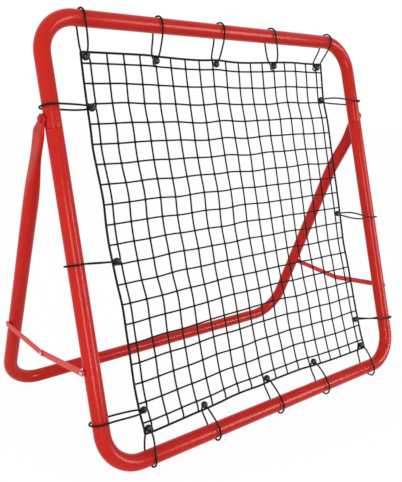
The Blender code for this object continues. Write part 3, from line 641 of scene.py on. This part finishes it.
def stay_strip(name, near, far, near_x, far_x, side, body, node):
    """A flat strip with rounded edges and half-round ends, sloping sideways between its rivets.

    Past a rivet at its end its half width is sqrt(r^2 - y^2), where y is the distance from the rivet."""
    way = unit(far - near)
    length = np.linalg.norm(far - near)
    cap = STRIP_HALF * np.cos(np.radians(np.linspace(2, 90, 14)))
    along = np.concatenate([-cap, np.linspace(0, length, 60)[1:-1], length + cap[::-1]])
    over = np.clip(np.maximum(-along, along - length), 0, None)
    width = np.sqrt(np.maximum(STRIP_HALF ** 2 - over ** 2, 1e-8))
    slope = np.clip((along - STRIP_END) / (length - 2 * STRIP_END), 0, 1)
    out = near_x + (far_x - near_x) * slope + STRIP_THICK / 2
    path = near * [0, 1, 1] + along[:, None] * way * [0, 1, 1] + (side * out)[:, None] * RIGHT
    corner = np.minimum(STRIP_CORNER, width * 0.45)[:, None]
    quarter = np.radians(np.linspace(0, 90, 5))
    turn = np.concatenate([quarter, quarter + np.pi / 2, quarter + np.pi, quarter + 1.5 * np.pi])
    sign_x = np.repeat([1, -1, -1, 1], 5)
    sign_y = np.repeat([1, 1, -1, -1], 5)
    x = sign_x * (width[:, None] - corner) + corner * np.cos(turn)
    y = sign_y * (STRIP_THICK / 2 - corner) + corner * np.sin(turn)
    surface = carried(path, np.stack([x, y], axis=-1), np.cross(way, RIGHT), "capped")
    piece(name, [surface], strip_red_painted_sheen, body, [node])


def rivet(name, shank, centre, side, body, node):
    """A rivet turned from its shank's profile and a domed head with the hollow of the pulled pin."""
    head = domed(shank[-1][0], RIVET_HEAD, RIVET_HEAD_HEIGHT, RIVET_HEAD_EDGE, RIVET_DIMPLE)
    surface = turned_surface(np.vstack([shank, head]), centre, RIGHT * side)
    piece(name, [surface], zinc, body, [node])


def blind_shank(end, strip_x):
    """A blind rivet's shank: the bulb inside the tube, then straight to the strip's outer face."""
    bulb = [(end + along, radius) for along, radius in BLIND_BULB]
    return bulb + [(strip_x + STRIP_THICK + GAP, BLIND_RIVET)]


def stays():
    outer_strip = MIDDLE_STRIP + STRIP_THICK + GAP
    for side, word in ((-1, "left"), (1, "right")):
        front = joint_at["front_link_turn_" + word] * [0, 1, 1]
        rear = joint_at["rear_link_turn_" + word] * [0, 1, 1]
        low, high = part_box("stay_middle_rivet_" + word)
        middle = np.array([0.0, (low.y + high.y) / 2, (low.z + high.z) / 2])
        stay_strip("front_stay_" + word, front, middle, FRONT_STRIP, MIDDLE_STRIP, side,
                   "front_link_" + word, "stay_front_link_" + word)
        stay_strip("rear_stay_" + word, rear, middle, REAR_STRIP, outer_strip, side,
                   "rear_link_" + word, "stay_rear_link_" + word)
        shank = [(outer_strip, MIDDLE_RIVET), (outer_strip + STRIP_THICK + GAP, MIDDLE_RIVET)]
        rivet("middle_rivet_" + word, shank, middle, side, "rear_link_" + word, "stay_middle_rivet_" + word)
        for end, centre, strip_x, body in (("front", front, FRONT_STRIP, "front_frame"),
                                           ("rear", rear, REAR_STRIP, "rear_stand")):
            node = "stay_%s_rivet_%s" % (end, word)
            shank = blind_shank(inner_end(node), strip_x)
            rivet("%s_rivet_%s" % (end, word), shank, centre, side, body, node)
        for end, centre, outside, strip_x, body in (
                ("front", front, SIDE + TUBE, FRONT_STRIP, "front_frame"),
                ("rear", rear, LEG + STAND_TUBE, REAR_STRIP, "rear_stand")):
            flat_ring("%s_spacer_%s" % (end, word), (outside + GAP, strip_x - GAP), SPACER_HOLE, SPACER_RIM,
                      SPACER_EDGE, centre, side, body, "stay_%s_spacer_%s" % (end, word))


# ---------------------------------------------------------------- net and ties

TIES = {"bottom": 5, "top": 5, "left": 3, "right": 3}
PULL = {"bottom": (0, -1, 0), "top": (0, 1, 0), "left": (-1, 0, 0), "right": (1, 0, 0)}
BALL = 0.008                    # radius
ROPE_FROM_BALL = 0.0103         # from a ball's middle to the rope that it bears on
TWINE = 0.0020                  # radius
CROSSING_SWELL = 0.28           # how much thicker the twine is where it crosses, as a share
CROSSING_LENGTH = 0.0022        # and over what length
TWINE_BEHIND = 0.0106           # how far the twine passes behind a ball's middle,
BEHIND_NEAR = 0.0055            # up to this distance from it;
BEHIND_RUN = 0.0070             # over this one it comes back to the frame's plane
BORDER_RUN = 0.006              # from the rope, in the plane, to where the twine may lie behind it
ROPE = 0.0025                   # radius of the border rope
ROPE_LOBE, ROPE_LAY = 0.00020, 0.022  # height of its three strands, and the length of one turn of theirs
ROPE_STEP = 0.003               # between its rings
NET_WIDE, NET_HIGH, NET_MEAN = 0.76, 0.83, 0.8  # about, to turn shares into metres
WAVES = 0.0011                  # the net's unevenness

NET_CORNERS = {"low_left": (-0.3832, 0.0524), "low_right": (0.3761, 0.0561),
               "high_left": (-0.3957, 0.8802), "high_right": (0.3663, 0.8885)}
EDGE_ENDS = {"bottom": ("low_left", "low_right"), "top": ("high_left", "high_right"),
             "left": ("low_left", "high_left"), "right": ("low_right", "high_right")}

# How far each border lies inward of the straight line between its corners, as (share along it, metres).
BORDERS = {
    "top": ((0, 0), (.12, .0003), (.22, .0006), (.25, .0022), (.30, .0034), (.36, .0043), (.42, .0038),
            (.475, .0014), (.50, .0012), (.55, .0040), (.60, .0052), (.66, .0042), (.725, .0025),
            (.775, .0008), (.85, -.0008), (.92, 0), (1, 0)),
    "bottom": ((0, 0), (.03, -.0005), (.10, .0010), (.175, .0030), (.22, .0036), (.275, .0055),
               (.325, .0083), (.375, .0094), (.45, .0082), (.50, .0098), (.58, .0102), (.65, .0098),
               (.70, .0072), (.775, .0040), (.825, .0025), (.875, .0015), (1, .0006)),
    "left": ((0, 0), (.05, -.0060), (.125, -.0088), (.20, -.0070), (.275, -.0055), (.34, -.0042),
             (.40, -.0075), (.45, -.0092), (.50, -.0108), (.55, -.0098), (.62, -.0062), (.70, -.0085),
             (.75, -.0098), (.80, -.0075), (.85, -.0063), (.92, -.0040), (1, 0)),
    "right": ((0, 0), (.05, .0008), (.10, .0026), (.15, .0060), (.22, .0095), (.28, .0130), (.325, .0163),
              (.375, .0202), (.43, .0195), (.50, .0180), (.60, .0160), (.70, .0145), (.80, .0122),
              (.86, .0155), (.90, .0140), (.95, .0075), (1, 0)),
}

# The strands' places: the first one's share from one border, the last one's from the other, and the count.
COLUMNS = (0.0274, 0.0290, 18)
ROWS = (0.0295, 0.0290, 19)


def upright(edge):
    """Whether an edge of the net runs up and down."""
    return edge in ("left", "right")


def ball_places():
    """Each CAD ball's (u, v) on the front frame."""
    places = {}
    for edge, count in TIES.items():
        for k in range(count):
            low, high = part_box("tie_%s_%d_ball" % (edge, k + 1))
            middle = (np.array(low) + np.array(high)) / 2 - FRAME_FOOT
            places[edge, k + 1] = np.array([middle @ RIGHT, middle @ UP_SLOPE])
    return places


balls = ball_places()


def border_line(edge, count=161):
    """A border's (u, v) points: the straight line between its corners, moved inward by its offsets and, at
    every ball, to the ball's own distance."""
    a, b = (np.array(NET_CORNERS[corner]) for corner in EDGE_ENDS[edge])
    inward = -np.array(PULL[edge][:2], float)
    share = np.linspace(0, 1, count)
    fine = curve_through(BORDERS[edge], 12)
    offset = np.interp(share, fine[:, 0], fine[:, 1])
    along_way = unit(b - a)
    at, short = [0.0], [0.0]
    mine = sorted((balls[key] for key in balls if key[0] == edge), key=lambda p: (p - a) @ along_way)
    for ball in mine:
        t = (ball - a) @ along_way / np.linalg.norm(b - a)
        line = a + (b - a) * t
        wanted = (ball - ROPE_FROM_BALL * inward - line) @ inward
        at.append(t)
        short.append(wanted - np.interp(t, share, offset))
    at.append(1.0)
    short.append(0.0)
    fix = curve_through(np.stack([at, short], 1), 12)
    offset = offset + np.interp(share, fix[:, 0], fix[:, 1])
    return a + (b - a) * share[:, None] + offset[:, None] * inward


borders = {edge: border_line(edge) for edge in TIES}


def on_border(edge, share):
    """(u, v) at shares along a border."""
    line = borders[edge]
    at = np.linspace(0, 1, len(line))
    return np.stack([np.interp(share, at, line[:, 0]), np.interp(share, at, line[:, 1])], axis=-1)


def net_place(across, up):
    """(u, v) of the net at shares across and up: both pairs of borders blended, less their corners' share
    (a Coons patch), with slow waves that die out at the borders."""
    across, up = np.broadcast_arrays(np.asarray(across, float), np.asarray(up, float))
    low, high = on_border("bottom", across), on_border("top", across)
    left, right = on_border("left", up), on_border("right", up)
    s, t = across[..., None], up[..., None]
    low_left, low_right, high_left, high_right = (np.array(NET_CORNERS[k]) for k in NET_CORNERS)
    flat = (1 - s) * (1 - t) * low_left + s * (1 - t) * low_right
    flat = flat + (1 - s) * t * high_left + s * t * high_right
    place = (1 - t) * low + t * high + (1 - s) * left + s * right - flat
    fade = np.minimum(1, 9 * s * (1 - s)) * np.minimum(1, 9 * t * (1 - t))
    wave_u = np.sin(17 * s + 5 * t + 0.6) * np.cos(23 * t + 2) + 0.6 * np.sin(41 * t + 7 * s)
    wave_v = np.sin(19 * t - 6 * s + 1.1) * np.cos(21 * s + 1) + 0.6 * np.sin(37 * s + 9 * t + 2)
    return place + WAVES * fade * np.concatenate([wave_u, wave_v], axis=-1)


def behind_balls(flat, across, up):
    """How far the net lies behind the frame's plane: it passes behind the balls, but not at the rope."""
    depth = np.zeros(len(flat))
    for ball in balls.values():
        away = np.linalg.norm(flat - ball, axis=1)
        depth = np.maximum(depth, TWINE_BEHIND * (1 - smooth((away - BEHIND_NEAR) / BEHIND_RUN)))
    border = np.minimum(np.minimum(across, 1 - across) * NET_WIDE, np.minimum(up, 1 - up) * NET_HIGH)
    return depth * smooth(border / BORDER_RUN)


def strand(across, up, crossings, sides=8):
    """One strand of twine along shares of the net, thickened a little where it crosses another."""
    flat = net_place(across, up)
    depth = behind_balls(flat, across, up)
    path = on_frame(np.column_stack([flat, depth]))
    share = across if np.ptp(across) > np.ptp(up) else up
    nearest = np.abs(share[:, None] - crossings[None, :]).min(axis=1) * NET_MEAN
    thick = TWINE * (1 + CROSSING_SWELL * np.exp(-(nearest / CROSSING_LENGTH) ** 2))
    return carried(path, round_profile(thick, sides), BEHIND, "capped")


def border_rope(sides=15):
    """The rope round the net, closed on itself: a circle with three low lobes that turn along it."""
    loop = np.vstack([borders["bottom"][:-1], borders["right"][:-1],
                      borders["top"][:0:-1], borders["left"][:0:-1]])
    loop = evenly(np.vstack([loop, loop[:1]]), ROPE_STEP)[:-1]
    path = on_frame(np.column_stack([loop, np.zeros(len(loop))]))
    along = np.arange(len(path)) * ROPE_STEP
    angle = 2 * np.pi * np.arange(sides) / sides
    radius = ROPE + ROPE_LOBE * np.cos(3 * (angle[None, :] - 2 * np.pi * along[:, None] / ROPE_LAY))
    closed = np.vstack([path[-1:], path, path[:1]])
    way = unit(closed[2:] - closed[:-2])
    side = np.broadcast_to(BEHIND, way.shape)
    other = np.cross(way, side)
    rings = path[:, None] + (radius * np.cos(angle))[..., None] * side[:, None]
    rings = rings + (radius * np.sin(angle))[..., None] * other[:, None]
    return joined_rings(rings, "joined")


def strand_shares(first, last, count):
    """Even shares from this first one to 1 less the last."""
    return np.linspace(first, 1 - last, count)


def net():
    fine = np.linspace(0, 1, 221)
    column_shares, row_shares = strand_shares(*COLUMNS), strand_shares(*ROWS)
    columns = [strand(np.full_like(fine, share), fine, row_shares) for share in column_shares]
    piece("net_columns", columns, net_twine, "front_frame", [], sharp=60)
    rows = [strand(fine, np.full_like(fine, share), column_shares) for share in row_shares]
    piece("net_rows", rows, net_twine, "front_frame", [], sharp=60)
    piece("net_rope", [border_rope()], rope_twist, "front_frame", ["net"], sharp=60)


LOOP_CORD = 0.0021              # radius
LOOP_WRAP = 0.0203              # from a tube's middle line to the cord's, where it lies close
WRAP_END = 96                   # degrees from the pull, where the cord leaves the tube
BALL_END = 62                   # and where it leaves the ball
BALL_START = 0.0070             # from the ball's middle to the cord's cut ends
EASE = 0.9                      # how strongly the cord keeps both directions on its way between
LOOP_STEP = 0.0012              # between its rings
PAST_TUBE = 0.004               # a loop's points this far beyond the tube's middle line show its place
MOUTH = 0.0017                  # radius of the hole drilled in a ball
MOUTH_INNER, MOUTH_OUTER = 0.0066, 0.0072  # its ends, from the ball's middle
GROOVE, GROOVE_WIDTH = 0.00018, 0.035  # the parting groove: depth, and half width in radians

# Each loop: how far it stands off the tube's far side, and off its front and rear.
SLACK = {("left", 1): (.002, .003), ("left", 2): (.002, .003), ("left", 3): (.002, .003),
         ("right", 1): (.0015, .003), ("right", 2): (.0015, .003), ("right", 3): (.0015, .003),
         ("top", 1): (.0005, .002), ("top", 2): (.0005, .002), ("top", 3): (.001, .002),
         ("top", 4): (.001, .002), ("top", 5): (.001, .002),
         ("bottom", 1): (.001, .003), ("bottom", 2): (.003, .003), ("bottom", 3): (.003, .003),
         ("bottom", 4): (.004, .003), ("bottom", 5): (.007, .003)}


def loop_route(reach, slack, spread):
    """The loop seen along the tube, (toward the tube, to the front), from the ball's middle and back to it.

    Round the tube it is r(a) = R + slack ((1 + cos a) / 2)^2 + spread sin(a)^2, a from the pull; a cubic on
    each side leads it to the ball."""
    turn = np.radians(np.linspace(-WRAP_END, WRAP_END, 41))
    radius = LOOP_WRAP + slack * ((1 + np.cos(turn)) / 2) ** 2 + spread * np.sin(turn) ** 2
    wrap = np.stack([reach + radius * np.cos(turn), radius * np.sin(turn)], axis=1)
    lead = []
    for sign, first, second in ((-1, wrap[0], wrap[1]), (1, wrap[-1], wrap[-2])):
        leave = np.array([math.cos(math.radians(BALL_END)), sign * math.sin(math.radians(BALL_END))])
        start = BALL_START * leave
        stretch = EASE * np.linalg.norm(first - start)
        t = np.linspace(0, 1, 26, endpoint=False)[:, None]
        lead.append(cubic(start, first, stretch * leave, stretch * unit(second - first), t))
    return np.vstack([lead[0], wrap, lead[1][::-1]])


def loop_place(edge, number):
    """Where a loop lies along its tube: the middle of its CAD solid beyond the tube's middle line."""
    mesh = frame["nodes"]["tie_%s_%d_loop" % (edge, number)].data
    co = np.empty(len(mesh.vertices) * 3, np.float32)
    mesh.vertices.foreach_get("co", co)
    local = (co.reshape(-1, 3) - FRAME_FOOT) @ np.array([RIGHT, UP_SLOPE, BEHIND]).T
    beyond = {"left": -local[:, 0] - SIDE, "right": local[:, 0] - SIDE, "top": local[:, 1] - TOP,
              "bottom": -local[:, 1]}[edge] > PAST_TUBE
    along = local[beyond][:, 1 if upright(edge) else 0]
    return (along.min() + along.max()) / 2


def ball_surface(centre, pull):
    """A ball turned about the pull, with a fine groove where its mould parted and a drilled mouth."""
    angle = np.radians(np.linspace(14, 172, 34))
    radius = BALL - GROOVE * np.exp(-((angle - np.pi / 2) / GROOVE_WIDTH) ** 2)
    mouth = [(MOUTH_INNER, MOUTH), (MOUTH_OUTER, MOUTH)]
    profile = np.vstack([mouth, np.stack([radius * np.cos(angle), radius * np.sin(angle)], axis=1)])
    return turned_surface(profile, centre, pull, 32)


def tie(edge, number):
    """A ball and its loop of braided elastic, which slides along the tube to where the CAD's loop lies."""
    key = (edge, number)
    name = "tie_%s_%d" % key
    ball = on_frame(np.append(balls[key], 0.0))
    pull = np.array(PULL[edge], float) @ np.array([RIGHT, UP_SLOPE, BEHIND])
    slip = loop_place(edge, number) - balls[key][1 if upright(edge) else 0]
    sphere = ball_surface(ball, pull)
    piece("ball_%s_%d" % key, [sphere], ball_plastic, "front_frame", [name + "_ball"])

    lateral = UP_SLOPE if upright(edge) else RIGHT
    tube = {"left": -SIDE, "right": SIDE, "top": TOP, "bottom": 0.0}[edge]
    reach = abs(tube - balls[key][0 if upright(edge) else 1])
    route = loop_route(reach, *SLACK[key])
    slide = smooth(route[:, 0] / reach)
    path = ball + route[:, :1] * pull - route[:, 1:] * BEHIND + (slide * slip)[:, None] * lateral
    if edge == "bottom":
        path[:, 2] = np.maximum(path[:, 2], LOOP_CORD)
    path = evenly(path, LOOP_STEP)
    loop = carried(path, round_profile(np.full(len(path), LOOP_CORD), 12), lateral, "capped")
    piece("loop_%s_%d" % key, [loop], elastic_braid, "front_frame", [name + "_loop"], sharp=70)


def hidden_nuts():
    """The nuts inside the uprights stay as the CAD has them, in zinc."""
    for word in ("left", "right"):
        nut = frame["nodes"]["pivot_nut_" + word]
        nut.data.materials.clear()
        nut.data.materials.append(zinc)


upper_tube()
lower_tube()
stand_tube()
pivots()
stays()
net()
for tie_key in balls:
    tie(*tie_key)
hidden_nuts()


# ---------------------------------------------------------------- room, light and camera

FLOOR = 14.0                    # half the floor's width, in metres
FLOOR_GLOW, GLOW_SHARE = 1.03, 0.90  # brightness of its glow, and the share of glow where it is seen
SKY_LIGHT = 0.72                # strength of the world's light on the object

CAMERA_PLACE = (-1.0065, -1.22149, 0.78586)
CAMERA_TURN, CAMERA_DROP, CAMERA_ROLL = 38.1486, 13.7398, 0.9549  # degrees: to the right, down, over
LENS, FILM_HEIGHT = 44.617, 36.0  # millimetres


def seen_ray(tree):
    """1 for rays from the camera, in reflections and through clear pieces; 0 for light on the object."""
    path = add(tree, "ShaderNodeLightPath")
    total = path.outputs["Is Camera Ray"]
    for kind in ("Is Glossy Ray", "Is Transmission Ray"):
        top = add(tree, "ShaderNodeMath", operation="MAXIMUM")
        tree.links.new(total, top.inputs[0])
        tree.links.new(path.outputs[kind], top.inputs[1])
        total = top.outputs[0]
    return total


def room():
    """A white floor: white to the camera and in reflections, with a faint shadow."""
    made = bpy.data.materials.new("white_paper")
    made.use_nodes = True
    tree = made.node_tree
    tree.nodes.clear()
    out = add(tree, "ShaderNodeOutputMaterial")
    diffuse = add(tree, "ShaderNodeBsdfDiffuse")
    diffuse.inputs["Color"].default_value = (0.86, 0.86, 0.86, 1)
    glow = add(tree, "ShaderNodeEmission")
    glow.inputs["Color"].default_value = (1, 1, 1, 1)
    glow.inputs["Strength"].default_value = FLOOR_GLOW
    seen = seen_ray(tree)
    share = add(tree, "ShaderNodeMath", operation="MULTIPLY")
    share.inputs[1].default_value = GLOW_SHARE
    tree.links.new(seen, share.inputs[0])
    mix = add(tree, "ShaderNodeMixShader")
    tree.links.new(share.outputs[0], mix.inputs["Fac"])
    tree.links.new(diffuse.outputs[0], mix.inputs[1])
    tree.links.new(glow.outputs[0], mix.inputs[2])
    tree.links.new(mix.outputs[0], out.inputs["Surface"])
    mesh = bpy.data.meshes.new("floor")
    corners = [(FLOOR * x, FLOOR * y, 0) for x, y in ((-1, -1), (1, -1), (1, 1), (-1, 1))]
    mesh.from_pydata(corners, [], [(0, 1, 2, 3)])
    floor = bpy.data.objects.new("floor", mesh)
    bpy.context.scene.collection.objects.link(floor)
    mesh.materials.append(made)


def sky():
    """The world: white to the camera and in reflections, softer as light."""
    world = bpy.data.worlds.new("studio")
    bpy.context.scene.world = world
    world.use_nodes = True
    tree = world.node_tree
    back = tree.nodes["Background"]
    back.inputs["Color"].default_value = (1, 1, 1, 1)
    seen = seen_ray(tree)
    strength = add(tree, "ShaderNodeMapRange")
    strength.inputs["To Min"].default_value = SKY_LIGHT
    strength.inputs["To Max"].default_value = 1.0
    tree.links.new(seen, strength.inputs["Value"])
    tree.links.new(strength.outputs["Result"], back.inputs["Strength"])


def lamp(name, place, target, width, height, watts, in_reflections):
    """A soft rectangular lamp that is either seen in reflections or lights the object, not both."""
    light = bpy.data.lights.new(name, "AREA")
    light.shape = "RECTANGLE"
    light.size, light.size_y = width, height
    light.energy = watts
    made = bpy.data.objects.new(name, light)
    bpy.context.scene.collection.objects.link(made)
    made.visible_glossy = in_reflections
    made.visible_diffuse = not in_reflections
    made.location = place
    made.rotation_euler = (Vector(target) - Vector(place)).to_track_quat("-Z", "Y").to_euler()


def camera():
    """The photograph's own place: in front, to the left, and above the net's middle."""
    data = bpy.data.cameras.new("camera")
    data.sensor_fit = "VERTICAL"
    data.sensor_height = FILM_HEIGHT
    data.lens = LENS
    made = bpy.data.objects.new("camera", data)
    bpy.context.scene.collection.objects.link(made)
    turns = ((-CAMERA_TURN, "Z"), (90 - CAMERA_DROP, "X"), (CAMERA_ROLL, "Z"))
    pose = Matrix.Translation(CAMERA_PLACE)
    for degrees, axis in turns:
        pose = pose @ Matrix.Rotation(math.radians(degrees), 4, axis)
    made.matrix_world = pose
    bpy.context.scene.camera = made


room()
sky()
lamp("left_softbox", (-2.65, -4.24, 1.25), (0, 0, 1.25), 1.4, 2.5, 200, True)
lamp("right_softbox", (3.0, -4.0, 1.25), (0, 0, 1.25), 1.9, 2.5, 230, True)
lamp("front_light", (-1.2, -4.4, 1.6), (0, 0, 0.6), 2.4, 2.0, 60, False)
lamp("side_light", (-4.4, 0.2, 1.4), (0, 0, 0.5), 2.4, 2.0, 40, False)
camera()
bpy.context.scene.view_settings.view_transform = "Standard"
